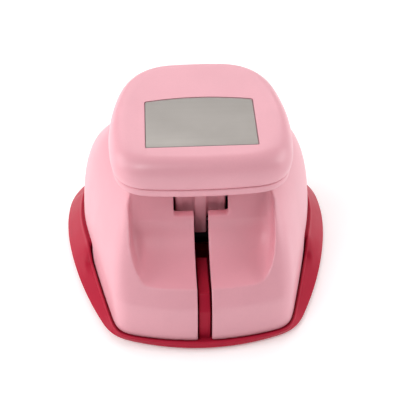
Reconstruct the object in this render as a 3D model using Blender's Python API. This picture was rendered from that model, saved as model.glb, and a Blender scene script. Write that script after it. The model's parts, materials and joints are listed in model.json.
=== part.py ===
"""Lever corner rounder: a craft punch that trims a sheet's corner to a 10 mm radius.

The long axis is Y. The palm pad overhangs the front (-Y); the paper goes in from the rear (+Y).
All sizes below are millimetres and become metres where a mesh is made. Z = 0 is the table.
"""
import math

import bmesh
import bpy
from mathutils import Matrix, Vector

MM = 0.001
GAP = 0.3              # running and resting clearance between separate pieces

# Driving dimensions ------------------------------------------------------------------------
BASE_FRONT, BASE_REAR, BASE_HALF_WIDTH = -42.4, 42.4, 41.2
FOOT_DROP = 0.6        # how far the rubber feet stand below the tray
FLOOR_TOP = 2.6        # upper face of the tray's floor
RIM_TOP = 3.5          # tray rim in front, outside the housing
WING_TOP = 9.3         # tray's raised finger wings at the sides
TABLE_TOP = 7.2        # tray rim at the rear, just under the paper

HOUSING_HALF_WIDTH = 35.6
HOUSING_FRONT, HOUSING_REAR = -41.0, 38.5
HOUSING_BOTTOM = 3.0
DOME_HEIGHT = 49.0     # where the dome would close if it were not cut flat
DOME_FLAT = 46.4       # flat top of the dome
DOME_CREST_Y = 12.0    # where the front and rear slopes of the dome meet
NOSE_TOP = 15.0        # upper edge of the upright front wall
SKIRT_Y = -3.8         # the skirt is cut away behind this, over the wings
SKIRT_BOTTOM = 9.8
WING_START, WING_FULL = -4.5, 1.5   # where the wing rises, from SKIRT_Y
TUCK_START = 0.5       # from here on, behind SKIRT_Y, the tray reaches in under the skirt
TABLE_START = 26.0     # the rear table begins here
RAIL_FRONT, RAIL_REAR, RAIL_TOP = -39.4, -20.6, 17.8   # crimson rail that fills the slot
RAIL_HALF_WIDTH = 1.7
PEDESTAL_HALF_WIDTH, PEDESTAL_FRONT, PEDESTAL_REAR = 25.0, -0.5, 31.0
CHUTE_HALF_WIDTH, CHUTE_FRONT, CHUTE_REAR = 11.0, 2.0, 18.0
MOUTH_HALF_WIDTH, MOUTH_Y, MOUTH_TOP = 27.0, 24.2, 12.1   # the paper's way in, at the rear
WALL = 2.0

RECESS_HALF_WIDTH = 21.0
RECESS_WALL_Y = -18.2  # foot of the recess wall, above its sweep
RECESS_LEAN = 0.48     # the wall leans back by this much for each millimetre of height
RECESS_FLOOR = 20.3
RECESS_BOW = 1.2       # the recess wall stands forward by this much at the centre
RECESS_BACK_Z = 44.0   # above this the wall stands upright
RECESS_SIDE_SWEEP = 5.5
RECESS_RUN, RECESS_RISE = 17.5, 10.5   # the sweep from floor to wall
NOTCH_HALF_WIDTH, NOTCH_BOTTOM, NOTCH_REAR = 8.0, 32.3, 5.0
SLOT_HALF_WIDTH = 2.1

PIVOT_Y, PIVOT_Z = 23.5, 29.5
BARREL_RADIUS = 3.6
PIN_RADIUS = 2.0
PUNCH_Y = 6.0          # the carrier's centre, PIVOT_Y - PUNCH_Y in front of the pivot
CORNER_RADIUS = 10.0   # radius the punch cuts
APEX_Y = 4.5           # where the sheet's corner comes to rest

PAD_BOTTOM = 51.3      # at the pad's middle
RIM_PLATE = 3.0        # the lever's own rim, below the seam
PAD_THICKNESS = 12.0
PAD_TILT = math.radians(3.0)   # the pad leans down towards the front
PAD_CENTRE_Y = -7.0
LABEL_POCKET = 0.6
LABEL_MIDDLE = -13.4
WEB_HALF_WIDTH = 1.8
SPINE_FRONT = -13.8    # front edges of the lever's upright flanges

DIE_BOTTOM, DIE_THICKNESS = 5.6, 2.0
PLATE_HALF_WIDTH, PLATE_REAR = 24.5, 22.0
PUNCH_CLEARANCE = 0.12   # between the punch and its die
FENCE_THICKNESS = 1.5
GUIDE_THICKNESS = 1.5
DIE_TOP = DIE_BOTTOM + DIE_THICKNESS
FENCE_BOTTOM = DIE_TOP + GAP
GUIDE_BOTTOM = FENCE_BOTTOM + FENCE_THICKNESS + GAP
GUIDE_TOP = GUIDE_BOTTOM + GUIDE_THICKNESS
FRAME_BOTTOM = GUIDE_TOP + GAP

CARRIER_TOP = 29.0
POST_X, POST_RADIUS = 14.0, 1.5
EAR_BOTTOM, EAR_TOP = 21.0, 25.0
BLADE_TIP = GUIDE_BOTTOM + 0.3
BLADE_SCREW_Y = 5.4

# Fasteners and feet: (x, y) on the right half; each has a twin on the left
HOUSING_SCREWS = ((19.5, -24.5), (29.0, 9.0))
BOSS_SPLIT = 7.0       # where the housing's screw bosses meet the tray's
BOSS_TOPS = (21.2, 31.0)
DIE_SCREWS = ((19.0, 3.5), (22.0, 16.0))
FEET = ((19.0, -15.0), (28.0, 27.0))
CAP_SCREWS = ((-16.0, -10.0), (16.0, -10.0))
SCREW_PASS_RADIUS = 1.6

MATERIALS = {          # colour, metallic, roughness
    "shell_pink": ((0.94, 0.57, 0.62), 0.0, 0.38),
    "tray_crimson": ((0.55, 0.03, 0.08), 0.0, 0.40),
    "label_silver": ((0.55, 0.52, 0.50), 0.9, 0.42),
    "steel": ((0.62, 0.62, 0.63), 1.0, 0.30),
    "zinc": ((0.45, 0.45, 0.46), 0.9, 0.55),
    "rubber": ((0.03, 0.03, 0.03), 0.0, 0.85),
}


# Objects and materials ---------------------------------------------------------------------
def clear_scene():
    for item in list(bpy.data.objects):
        bpy.data.objects.remove(item, do_unlink=True)


def material(name, node):
    """The node's own material, in one of the object's few finishes."""
    colour, metallic, roughness = MATERIALS[name]
    made = bpy.data.materials.new(node + "_" + name)
    made.use_nodes = True
    shader = made.node_tree.nodes["Principled BSDF"]
    shader.inputs["Base Color"].default_value = (*colour, 1.0)
    shader.inputs["Metallic"].default_value = metallic
    shader.inputs["Roughness"].default_value = roughness
    return made


def make_object(name, mesh_data, finish=None, origin=(0.0, 0.0, 0.0)):
    """An object from a bmesh in millimetres, with its origin at `origin` (millimetres)."""
    bmesh.ops.recalc_face_normals(mesh_data, faces=mesh_data.faces)
    mesh_data.transform(Matrix.Scale(MM, 4) @ Matrix.Translation(-Vector(origin)))
    mesh = bpy.data.meshes.new(name)
    mesh_data.to_mesh(mesh)
    mesh_data.free()
    mesh.shade_smooth()
    mesh.set_sharp_from_angle(angle=math.radians(32.0))
    made = bpy.data.objects.new(name, mesh)
    made.location = Vector(origin) * MM
    bpy.context.scene.collection.objects.link(made)
    if finish:
        mesh.materials.append(material(finish, name))
    else:
        made.hide_render = True
        made.display_type = "WIRE"
    return made


def combine(target, tool, operation="DIFFERENCE"):
    """Cut `tool` out of `target`, join it on, or keep only what both share."""
    step = target.modifiers.new(tool.name, "BOOLEAN")
    step.operation = operation
    step.object = tool
    return target


def bevelled(target, width, segments=2, angle=35.0):
    step = target.modifiers.new("edge_round", "BEVEL")
    step.width = width * MM
    step.segments = segments
    step.limit_method = "ANGLE"
    step.angle_limit = math.radians(angle)
    return target


# Outlines ----------------------------------------------------------------------------------
def bowed_outline(corners, arc_steps=6, corner_steps=3):
    """A closed outline. A corner is (x, y, rounding, bow): bow is how far the side that leaves
    the corner swells outwards, and rounding is the length trimmed off each side of the corner."""
    count = len(corners)
    sides = []
    for index, (x, y, _, bow) in enumerate(corners):
        end = corners[(index + 1) % count]
        start, stop = Vector((x, y)), Vector(end[:2])
        run = stop - start
        outward = Vector((run.y, -run.x)).normalized() * bow
        trim_start = corners[index][2] / run.length
        trim_stop = 1.0 - end[2] / run.length
        steps = arc_steps if bow else 1
        side = []
        for step in range(steps + 1):
            t = trim_start + (trim_stop - trim_start) * step / steps
            side.append(start + run * t + outward * 4.0 * t * (1.0 - t))
        sides.append(side)
    outline = []
    for index, side in enumerate(sides):
        outline.extend(side)
        corner = Vector(corners[(index + 1) % count][:2])
        first, last = side[-1], sides[(index + 1) % count][0]
        if corners[(index + 1) % count][2]:
            for step in range(1, corner_steps + 1):
                t = step / (corner_steps + 1)
                outline.append(first * (1 - t) ** 2 + corner * 2 * t * (1 - t) + last * t * t)
        else:
            outline.pop()
    return [(point.x, point.y) for point in outline]


def mirrored(right_half):
    """Corners of a shape symmetric about X = 0, from its right half, front to rear. The bow of
    the last corner is the rear side's."""
    left_half = []
    for index in range(len(right_half) - 1, -1, -1):
        x, y, rounding, _ = right_half[index]
        bow = right_half[index - 1][3] if index else 0.0
        left_half.append((-x, y, rounding, bow))
    return list(right_half) + left_half


def front_bow(corners, bow):
    """The same corners, with the last side (across the front) swelling by `bow`."""
    x, y, rounding, _ = corners[-1]
    return corners[:-1] + [(x, y, rounding, bow)]


def with_stations(outline, stations):
    """The outline with a point added wherever a side crosses one of the `stations` in y."""
    refined = []
    for (ax, ay), (bx, by) in zip(outline, outline[1:] + outline[:1]):
        refined.append((ax, ay))
        crossed = sorted((s for s in stations if min(ay, by) < s < max(ay, by)), reverse=by < ay)
        for station in crossed:
            share = (station - ay) / (by - ay)
            refined.append((ax + (bx - ax) * share, station))
    return refined


def rounded_box(low_x, low_y, high_x, high_y, rounding):
    corners = ((low_x, low_y), (high_x, low_y), (high_x, high_y), (low_x, high_y))
    return bowed_outline([(x, y, rounding, 0.0) for x, y in corners])


def circle(radius, steps=24, centre=(0.0, 0.0), phase=0.0):
    return [(centre[0] + radius * math.cos(phase + math.tau * i / steps),
             centre[1] + radius * math.sin(phase + math.tau * i / steps)) for i in range(steps)]


# Solids ------------------------------------------------------------------------------------
def loft(rings):
    """A closed solid through rings that have the same number of points."""
    solid = bmesh.new()
    loops = [[solid.verts.new(point) for point in ring] for ring in rings]
    for low, high in zip(loops, loops[1:]):
        for index, vertex in enumerate(low):
            nxt = (index + 1) % len(low)
            solid.faces.new((vertex, low[nxt], high[nxt], high[index]))
    solid.faces.new(loops[0][::-1])
    solid.faces.new(loops[-1])
    return solid


def prism(outline, bottom, top):
    return loft([[(x, y, z) for x, y in outline] for z in (bottom, top)])


def side_prism(profile, x_low, x_high):
    """A profile of (y, z) points, drawn out along X."""
    return loft([[(x, y, z) for y, z in profile] for x in (x_low, x_high)])


def block(low, high):
    return prism([(low[0], low[1]), (high[0], low[1]), (high[0], high[1]), (low[0], high[1])],
                 low[2], high[2])


def turned(profile, steps=24, centre=(0.0, 0.0)):
    """A solid turned about a vertical axis from (radius, z) pairs, bottom to top."""
    return loft([[(*point, z) for point in circle(radius, steps, centre)] for radius, z in profile])


def x_cylinder(radius, x_low, x_high, y, z, steps=20):
    return loft([[(x, y + a, z + b) for a, b in circle(radius, steps)] for x in (x_low, x_high)])


# Shared shapes -----------------------------------------------------------------------------
HOUSING_PLAN = bowed_outline(front_bow(mirrored([
    (25.6, -36.4, 3.6, 0.4),
    (HOUSING_HALF_WIDTH + 0.9, 14.0, 10.5, 0.6),
    (31.0, 34.0, 9.5, 4.6),
]), 4.6), arc_steps=5, corner_steps=3)

TRAY_PLAN = bowed_outline(front_bow(mirrored([
    (27.6, BASE_FRONT + 6.4, 4.2, 2.3),
    (BASE_HALF_WIDTH - 0.1, 12.0, 5.0, 0.4),
    (BASE_HALF_WIDTH - 1.3, 27.6, 2.5, 0.3),
    (34.0, BASE_REAR - 4.6, 4.0, 4.6),
]), 6.4), arc_steps=8, corner_steps=3)
TRAY_PLAN = with_stations(TRAY_PLAN, (SKIRT_Y + TUCK_START, SKIRT_Y + TUCK_START + 1.0))

PAD_PLAN = bowed_outline(front_bow(mirrored([
    (24.2, -30.8, 7.5, 4.4),
    (18.4, 16.0, 9.8, 0.9),
]), 1.7), arc_steps=7, corner_steps=4)

LABEL_PLAN = bowed_outline(mirrored([
    (15.9, -23.7, 0.0, 0.0),
    (15.6, -3.4, 0.0, 1.5),
]), arc_steps=8)


def ease(value):
    value = min(1.0, max(0.0, value))
    return value * value * (3.0 - 2.0 * value)


def dome_ring(height, inset):
    """The housing's outline at one height; `inset` gives the inner skin."""
    rise = min(1.0, max(0.0, height / DOME_HEIGHT))
    half_width = HOUSING_HALF_WIDTH * (1.0 - rise ** 3.4) ** (1.0 / 3.0)
    rear = DOME_CREST_Y + (HOUSING_REAR - DOME_CREST_Y) * (1.0 - rise ** 2.62)
    climb = max(0.0, (height - NOSE_TOP) / (DOME_HEIGHT - NOSE_TOP))
    front = HOUSING_FRONT + (DOME_CREST_Y - HOUSING_FRONT) * (0.43 * climb + 0.57 * climb ** 4.6)
    x_scale = (half_width - inset) / HOUSING_HALF_WIDTH
    y_scale = (rear - front - 2.0 * inset) / (HOUSING_REAR - HOUSING_FRONT)
    return [(x * x_scale, front + inset + (y - HOUSING_FRONT) * y_scale) for x, y in HOUSING_PLAN]


def dome(inset, bottom):
    heights = [bottom, 9.0, NOSE_TOP, 18.0, 21.0, 25.0, 29.0, 33.0, 36.5, 39.5, 42.0, 44.3,
               DOME_FLAT]
    shift = 0.6 * inset
    return loft([[(x, y, z - shift * ease((z - 20.0) / 15.0)) for x, y in dome_ring(z, inset)]
                 for z in heights])


def recess(grow):
    """The hollow under the pad: a U in plan whose floor sweeps up into the wall and the sides."""
    rings = []
    steps = 6
    for step in range(steps + 1):
        share = 1.0 - math.cos(math.pi / 2.0 * step / steps)
        inset = 1.0 - math.sin(math.pi / 2.0 * step / steps)
        half = RECESS_HALF_WIDTH + grow - RECESS_SIDE_SWEEP * inset
        wall = RECESS_WALL_Y + grow - RECESS_RUN * inset
        rings.append((RECESS_FLOOR - grow + RECESS_RISE * share, half, wall))
    rings.append((RECESS_BACK_Z, RECESS_HALF_WIDTH + grow,
                  RECESS_WALL_Y + grow + RECESS_LEAN * (RECESS_BACK_Z - rings[-1][0])))
    rings.append((DOME_HEIGHT + 10.0, RECESS_HALF_WIDTH + grow, rings[-1][2]))
    solid = []
    for height, half, wall in rings:
        corners = [(-half, HOUSING_FRONT - 10.0, 0.0, 0.0), (half, HOUSING_FRONT - 10.0, 0.0, 0.0),
                   (half, wall, 4.0, -RECESS_BOW), (-half, wall, 4.0, 0.0)]
        solid.append([(x, y, height) for x, y in bowed_outline(corners, arc_steps=6)])
    return loft(solid)


# Fixed pieces ------------------------------------------------------------------------------
def wing_share(y):
    """0 in front of the wings, 1 along them."""
    return ease((y - SKIRT_Y - WING_START) / (WING_FULL - WING_START))


def tuck(y):
    """How far the tray reaches in under the raised part of the skirt."""
    return 2.0 * ease((y - SKIRT_Y - TUCK_START) / 1.0)


def tray_rim(y, wing=None):
    """Height of the tray's edge: low in front, raised wings at the sides, a table behind."""
    wing = wing_share(y) if wing is None else wing
    table = ease((y - TABLE_START) / 3.0)
    low = RIM_TOP + 1.3 * ease((y + 34.0) / 30.0)
    return low + wing * (WING_TOP - low) - table * (WING_TOP - TABLE_TOP)


def skirt_point(x, y, reach):
    """Where the line from the middle through (x, y) leaves the housing's outline, plus `reach`."""
    count = len(HOUSING_PLAN)
    for index, (ax, ay) in enumerate(HOUSING_PLAN):
        bx, by = HOUSING_PLAN[(index + 1) % count]
        spread = x * (by - ay) - y * (bx - ax)
        along = (ax * (by - ay) - ay * (bx - ax)) / spread if spread else -1.0
        share = (ax * y - ay * x) / spread if spread else -1.0
        if along > 0.0 and -1e-9 <= share <= 1.0 + 1e-9:
            grown = along + reach / math.hypot(x, y)
            return x * grown, y * grown
    return x, y


def base_tray():
    rings = [[(x * 0.975, y * 0.975, FOOT_DROP) for x, y in TRAY_PLAN],
             [(x, y, FOOT_DROP + 0.9) for x, y in TRAY_PLAN]]
    flank = []
    for x, y in TRAY_PLAN:
        top_x, top_y = skirt_point(x, y, 1.3)
        height = tray_rim(y, ease((y - SKIRT_Y + 10.0) / 15.0)) * 0.5 + rings[1][0][2] * 0.5
        flank.append(((x + top_x) / 2.0, (y + top_y) / 2.0, height))
    rings.append(flank)
    for reach, drop in ((1.3, 0.5), (1.0, 0.0), (0.6, 0.1)):
        rings.append([(*skirt_point(x, y, reach), tray_rim(y) - drop) for x, y in TRAY_PLAN])
    rings.append([(*skirt_point(x, y, 0.55 - tuck(y)), tray_rim(y) - 0.15)
                  for x, y in TRAY_PLAN])
    inside = [skirt_point(x, y, 0.35 - 0.9 * tuck(y)) for x, y in TRAY_PLAN]
    rings.append([(x, y, FLOOR_TOP) for x, y in inside])
    return make_object("base_tray", loft(rings), "tray_crimson")


def build_tray():
    tray = base_tray()
    plan = rounded_box(-PEDESTAL_HALF_WIDTH, PEDESTAL_FRONT, PEDESTAL_HALF_WIDTH, PEDESTAL_REAR, 2.0)
    pedestal = prism(plan, FLOOR_TOP - 1.0, DIE_BOTTOM - GAP)
    combine(tray, make_object("tray_pedestal", pedestal), "UNION")
    rail = [(RAIL_FRONT, FLOOR_TOP - 1.0), (RAIL_FRONT, RAIL_TOP - 4.8), (RAIL_FRONT + 2.9, RAIL_TOP),
            (RAIL_REAR, RAIL_TOP), (RAIL_REAR, FLOOR_TOP - 1.0)]
    rail_solid = side_prism(rail[::-1], -RAIL_HALF_WIDTH, RAIL_HALF_WIDTH)
    combine(tray, make_object("slot_rail", rail_solid), "UNION")
    for side in (-1, 1):
        for x, y in HOUSING_SCREWS:
            boss = turned([(3.4, FLOOR_TOP - 1.0), (3.2, BOSS_SPLIT - GAP)], 14, (side * x, y))
            combine(tray, make_object("tray_boss", boss), "UNION")
    plan = rounded_box(-CHUTE_HALF_WIDTH, CHUTE_FRONT, CHUTE_HALF_WIDTH, CHUTE_REAR, 2.0)
    combine(tray, make_object("chute_cut", prism(plan, -1.0, DIE_BOTTOM + 1.0)))
    for side in (-1, 1):
        for x, y in HOUSING_SCREWS:
            hole = turned([(3.1, -1.0), (3.1, 2.9), (1.5, 2.95), (1.5, 14.0)], 14, (side * x, y))
            combine(tray, make_object("tray_screw_hole", hole))
        for x, y in DIE_SCREWS:
            hole = turned([(1.25, 1.8), (1.25, 14.0)], 12, (side * x, y))
            combine(tray, make_object("tray_die_hole", hole))
        for x, y in FEET:
            seat = turned([(4.2, -1.0), (4.2, FOOT_DROP + 0.8)], 14, (side * x, y))
            combine(tray, make_object("tray_foot_seat", seat))
    return tray


def build_housing():
    housing = make_object("top_housing", dome(0.0, HOUSING_BOTTOM), "shell_pink")
    hollow = make_object("housing_hollow", dome(WALL, -2.0))
    combine(hollow, make_object("recess_backing", recess(WALL)))
    combine(housing, hollow)
    combine(housing, make_object("recess_cut", recess(0.0)))
    plan = rounded_box(-NOTCH_HALF_WIDTH, RECESS_WALL_Y - 8.0, NOTCH_HALF_WIDTH, NOTCH_REAR, 1.5)
    combine(housing, make_object("notch_cut", prism(plan, NOTCH_BOTTOM, DOME_HEIGHT + 5.0)))
    slot = block((-SLOT_HALF_WIDTH, HOUSING_FRONT - 5.0, -1.0),
                 (SLOT_HALF_WIDTH, RECESS_WALL_Y + 8.0, NOTCH_BOTTOM + 1.0))
    combine(housing, make_object("slot_cut", slot))
    skirt = block((-60.0, SKIRT_Y, -5.0), (60.0, 60.0, SKIRT_BOTTOM))
    combine(housing, make_object("skirt_cut", skirt))
    mouth = block((-MOUTH_HALF_WIDTH, MOUTH_Y, -5.0), (MOUTH_HALF_WIDTH, 60.0, MOUTH_TOP))
    combine(housing, make_object("mouth_cut", mouth))
    for side in (-1, 1):
        for (x, y), top in zip(HOUSING_SCREWS, BOSS_TOPS):
            boss = turned([(2.9, BOSS_SPLIT), (2.9, top)], 14, (side * x, y))
            combine(housing, make_object("housing_boss", boss), "UNION")
            hole = turned([(1.1, BOSS_SPLIT - 3.0), (1.1, BOSS_SPLIT + 9.0)], 12, (side * x, y))
            combine(housing, make_object("housing_pilot", hole))
    return housing


# Die set -----------------------------------------------------------------------------------
def punch_outline(clearance):
    """The trimmed-off corner: two sides at 45 degrees and the concave arc between them."""
    reach = CORNER_RADIUS / math.sqrt(2.0)
    centre_y = APEX_Y + CORNER_RADIUS * math.sqrt(2.0)
    radius = CORNER_RADIUS - clearance
    arc = []
    for step in range(13):
        angle = math.radians(-135.0 + 90.0 * step / 12.0)
        arc.append((radius * math.cos(angle), centre_y + radius * math.sin(angle)))
    side = reach + 1.2 + clearance
    shoulder = APEX_Y + reach + clearance
    front = APEX_Y - 1.5 - clearance
    return [(-side, front), (side, front), (side, shoulder)] + arc[::-1] + [(-side, shoulder)]


def plate(name, bottom, thickness, finish):
    outline = rounded_box(-PLATE_HALF_WIDTH, 0.0, PLATE_HALF_WIDTH, PLATE_REAR, 2.0)
    made = make_object(name, prism(outline, bottom, bottom + thickness), finish)
    opening = prism(punch_outline(PUNCH_CLEARANCE), bottom - 1.0, bottom + thickness + 1.0)
    combine(made, make_object("punch_opening", opening))
    for side in (-1, 1):
        for x, y in DIE_SCREWS:
            hole = turned([(SCREW_PASS_RADIUS, bottom - 1.0),
                           (SCREW_PASS_RADIUS, bottom + thickness + 1.0)], 12, (side * x, y))
            combine(made, make_object(name + "_hole", hole))
    return made


def build_die_set():
    plate("die_plate", DIE_BOTTOM, DIE_THICKNESS, "steel")
    guide = plate("guide_plate", GUIDE_BOTTOM, GUIDE_THICKNESS, "steel")
    for side in (-1, 1):
        well = turned([(POST_RADIUS + 0.15, GUIDE_BOTTOM - 1.0), (POST_RADIUS + 0.15, GUIDE_TOP + 1.0)],
                      16, (side * POST_X, PUNCH_Y))
        combine(guide, make_object("post_hole", well))
    for side, name in ((-1, "fence_left"), (1, "fence_right")):
        inner, outer = 8.9, PLATE_HALF_WIDTH - 0.1
        outline = [(side * 19.4, APEX_Y + 19.4), (side * outer, PLATE_REAR - 0.3), (side * outer, 0.2),
                   (side * inner, 0.2), (side * inner, APEX_Y + inner)]
        fence = make_object(name, prism(outline, FENCE_BOTTOM, FENCE_BOTTOM + FENCE_THICKNESS), "steel")
        for x, y in DIE_SCREWS:
            hole = turned([(SCREW_PASS_RADIUS, FENCE_BOTTOM - 1.0), (SCREW_PASS_RADIUS, GUIDE_TOP)],
                          12, (side * x, y))
            combine(fence, make_object(name + "_hole", hole))
    for index, (side, (x, y)) in enumerate(((s, place) for s in (-1, 1) for place in DIE_SCREWS), 1):
        top = FRAME_BOTTOM + 1.5 + GAP
        screw = turned([(1.15, 2.6), (1.15, top), (2.4, top), (2.5, top + 0.6), (1.9, top + 1.5)],
                       14, (side * x, y))
        made = make_object("die_screw_%d" % index, screw, "steel")
        drive = block((side * x - 3.0, y - 0.3, top + 0.8), (side * x + 3.0, y + 0.3, top + 3.0))
        combine(made, make_object("die_screw_slot", drive))


def build_pivot_frame():
    half_width, thickness = PLATE_HALF_WIDTH - 0.5, 1.5
    plan = rounded_box(-half_width, 1.0, half_width, PLATE_REAR - 1.0, 2.0)
    flange = prism(plan, FRAME_BOTTOM, FRAME_BOTTOM + thickness)
    frame = make_object("pivot_frame", flange, "steel")
    window = block((-18.0, -5.0, FRAME_BOTTOM - 1.0), (18.0, 14.5, FRAME_BOTTOM + 3.0))
    combine(frame, make_object("frame_window", window))
    for side in (-1, 1):
        low, high = sorted((side * 9.0, side * 11.0))
        profile = [(14.6, FRAME_BOTTOM), (21.0, FRAME_BOTTOM), (28.4, 27.0)]
        for step in range(7):
            angle = math.radians(-10.0 + 200.0 * step / 6.0)
            profile.append((PIVOT_Y + 3.4 * math.cos(angle), PIVOT_Z + 3.4 * math.sin(angle)))
        combine(frame, make_object("frame_lug", side_prism(profile, low, high)), "UNION")
    bore = x_cylinder(PIN_RADIUS + 0.05, -15.0, 15.0, PIVOT_Y, PIVOT_Z)
    combine(frame, make_object("frame_bore", bore))
    for side in (-1, 1):
        for x, y in DIE_SCREWS:
            hole = turned([(SCREW_PASS_RADIUS, FRAME_BOTTOM - 1.0),
                           (SCREW_PASS_RADIUS, FRAME_BOTTOM + 4.0)], 12, (side * x, y))
            combine(frame, make_object("frame_hole", hole))
    pin = x_cylinder(PIN_RADIUS, -12.6, 12.6, PIVOT_Y, PIVOT_Z)
    pin_object = make_object("pivot_pin", pin, "steel")
    for side, name in ((-1, "pin_clip_left"), (1, "pin_clip_right")):
        low, high = sorted((side * 11.4, side * 12.0))
        groove = x_cylinder(PIN_RADIUS + 1.0, low - 0.1, high + 0.1, PIVOT_Y, PIVOT_Z)
        core = x_cylinder(PIN_RADIUS - 0.6, low - 0.5, high + 0.5, PIVOT_Y, PIVOT_Z)
        groove_object = make_object(name + "_groove", groove)
        combine(groove_object, make_object(name + "_core", core))
        combine(pin_object, groove_object)
        clip = make_object(name, x_cylinder(3.2, low, high, PIVOT_Y, PIVOT_Z), "steel")
        hole = x_cylinder(PIN_RADIUS - 0.5, -20.0, 20.0, PIVOT_Y, PIVOT_Z)
        combine(clip, make_object(name + "_bore", hole))
        mouth = block((-20.0, PIVOT_Y - 1.1, PIVOT_Z - 6.0), (20.0, PIVOT_Y + 1.1, PIVOT_Z))
        combine(clip, make_object(name + "_mouth", mouth))


# Lever -------------------------------------------------------------------------------------
def tilt_pad(points):
    """Lean a point set down towards the front about the pad's middle."""
    sine, cosine = math.sin(PAD_TILT), math.cos(PAD_TILT)
    leaned = []
    for x, y, z in points:
        dy, dz = y - PAD_CENTRE_Y, z - PAD_BOTTOM
        leaned.append((x, PAD_CENTRE_Y + dy * cosine - dz * sine,
                       PAD_BOTTOM + dy * sine + dz * cosine))
    return leaned


def pad_ring(inset, height):
    """The pad's outline drawn in by `inset`, at `height` above the pad's underside."""
    half_width = 25.0
    half_length = 25.7
    return tilt_pad([(x * (1.0 - inset / half_width),
                      PAD_CENTRE_Y + (y - PAD_CENTRE_Y) * (1.0 - inset / half_length),
                      PAD_BOTTOM + height) for x, y in PAD_PLAN])


def pad_stack(levels, place):
    """Discs in the pad's tilted frame: `levels` holds (radius, height above the underside)."""
    return loft([tilt_pad([(*point, PAD_BOTTOM + z) for point in circle(radius, 12, place)])
                 for radius, z in levels])


def build_lever():
    pivot = (0.0, PIVOT_Y, PIVOT_Z)
    plate_rings = [pad_ring(1.2, 0.0), pad_ring(0.7, 0.5), pad_ring(0.5, RIM_PLATE)]
    arm = make_object("lever_arm", loft(plate_rings), "shell_pink", pivot)
    hub_bottom = PIVOT_Z - BARREL_RADIUS + 0.1
    hub_top = PIVOT_Z + BARREL_RADIUS - 0.1
    flange = [(PIVOT_Y, hub_bottom), (20.0, 27.6), (13.0, 30.4), (-1.0, 30.4), (-7.0, 27.5),
              (SPINE_FRONT, 27.5), (SPINE_FRONT, 51.9), (2.5, 52.5), (3.0, 42.5), (15.0, 37.0),
              (PIVOT_Y, hub_top)]
    web_front = SPINE_FRONT - 0.7
    web = [(PIVOT_Y, PIVOT_Z - 1.5), (13.0, 31.0), (-1.0, 31.0), (-9.0, 22.0), (web_front, 22.0),
           (web_front, 51.9), (1.9, 52.4), (2.4, 42.5), (15.0, 36.9), (PIVOT_Y, PIVOT_Z + 3.0)]
    for low, high in ((-7.5, -5.9), (5.9, 7.5)):
        combine(arm, make_object("arm_flange", side_prism(flange, low, high)), "UNION")
    combine(arm, make_object("arm_web", side_prism(web, -WEB_HALF_WIDTH, WEB_HALF_WIDTH)), "UNION")
    barrel = x_cylinder(BARREL_RADIUS, -7.6, 7.6, PIVOT_Y, PIVOT_Z)
    combine(arm, make_object("arm_barrel", barrel), "UNION")
    wall_front, wall_back = SPINE_FRONT + 0.5, SPINE_FRONT + 2.1
    wall = side_prism([(wall_front, 28.3), (wall_back, 28.3), (wall_back, 52.0), (wall_front, 52.0)],
                      -7.2, 7.2)
    combine(arm, make_object("arm_cross_wall", wall), "UNION")
    sole = side_prism([(13.5, 30.4), (13.5, 32.4), (-1.5, 32.4), (-1.5, 30.4)], -7.2, 7.2)
    combine(arm, make_object("arm_sole", sole), "UNION")
    bore = x_cylinder(PIN_RADIUS + 0.15, -15.0, 15.0, PIVOT_Y, PIVOT_Z)
    combine(arm, make_object("arm_bore", bore))

    skin = RIM_PLATE + GAP
    outer = [pad_ring(0.0, skin), pad_ring(-0.1, skin + 1.5), pad_ring(-0.1, 6.0), pad_ring(0.5, 8.2),
             pad_ring(1.6, 10.2), pad_ring(3.2, 11.5), pad_ring(5.2, PAD_THICKNESS)]
    cap = make_object("lever_cap", loft(outer), "shell_pink", pivot)
    inner = [pad_ring(1.8, skin - 2.0), pad_ring(1.8, 6.0), pad_ring(3.0, 8.6), pad_ring(5.5, 9.8)]
    combine(cap, make_object("cap_hollow", loft(inner)))
    pocket = [tilt_pad([(x, y, PAD_BOTTOM + z) for x, y in LABEL_PLAN])
              for z in (PAD_THICKNESS - LABEL_POCKET, PAD_THICKNESS + 3.0)]
    combine(cap, make_object("label_pocket", loft(pocket)))
    label_rings = [tilt_pad([(x * 0.985, LABEL_MIDDLE + (y - LABEL_MIDDLE) * 0.98, PAD_BOTTOM + z)
                             for x, y in LABEL_PLAN])
                   for z in (PAD_THICKNESS - LABEL_POCKET + GAP, PAD_THICKNESS - 0.08)]
    make_object("label_plate", loft(label_rings), "label_silver", pivot)
    for index, place in enumerate(CAP_SCREWS, 1):
        boss = pad_stack([(2.6, skin), (2.6, 10.4)], place)
        combine(cap, make_object("cap_boss", boss), "UNION")
        pilot = pad_stack([(1.35, skin - 1.0), (1.35, skin + 5.5)], place)
        combine(cap, make_object("cap_pilot", pilot))
        hole = pad_stack([(1.5, -1.0), (1.5, RIM_PLATE + 1.0)], place)
        combine(arm, make_object("plate_hole", hole))
        sink = pad_stack([(2.8, -1.0), (2.8, 1.2)], place)
        combine(arm, make_object("plate_sink", sink))
        screw = pad_stack([(2.4, 0.1), (2.4, 0.9), (1.15, 0.9), (1.15, skin + 4.5)], place)
        make_object("cap_screw_%d" % index, screw, "steel", pivot)


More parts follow.
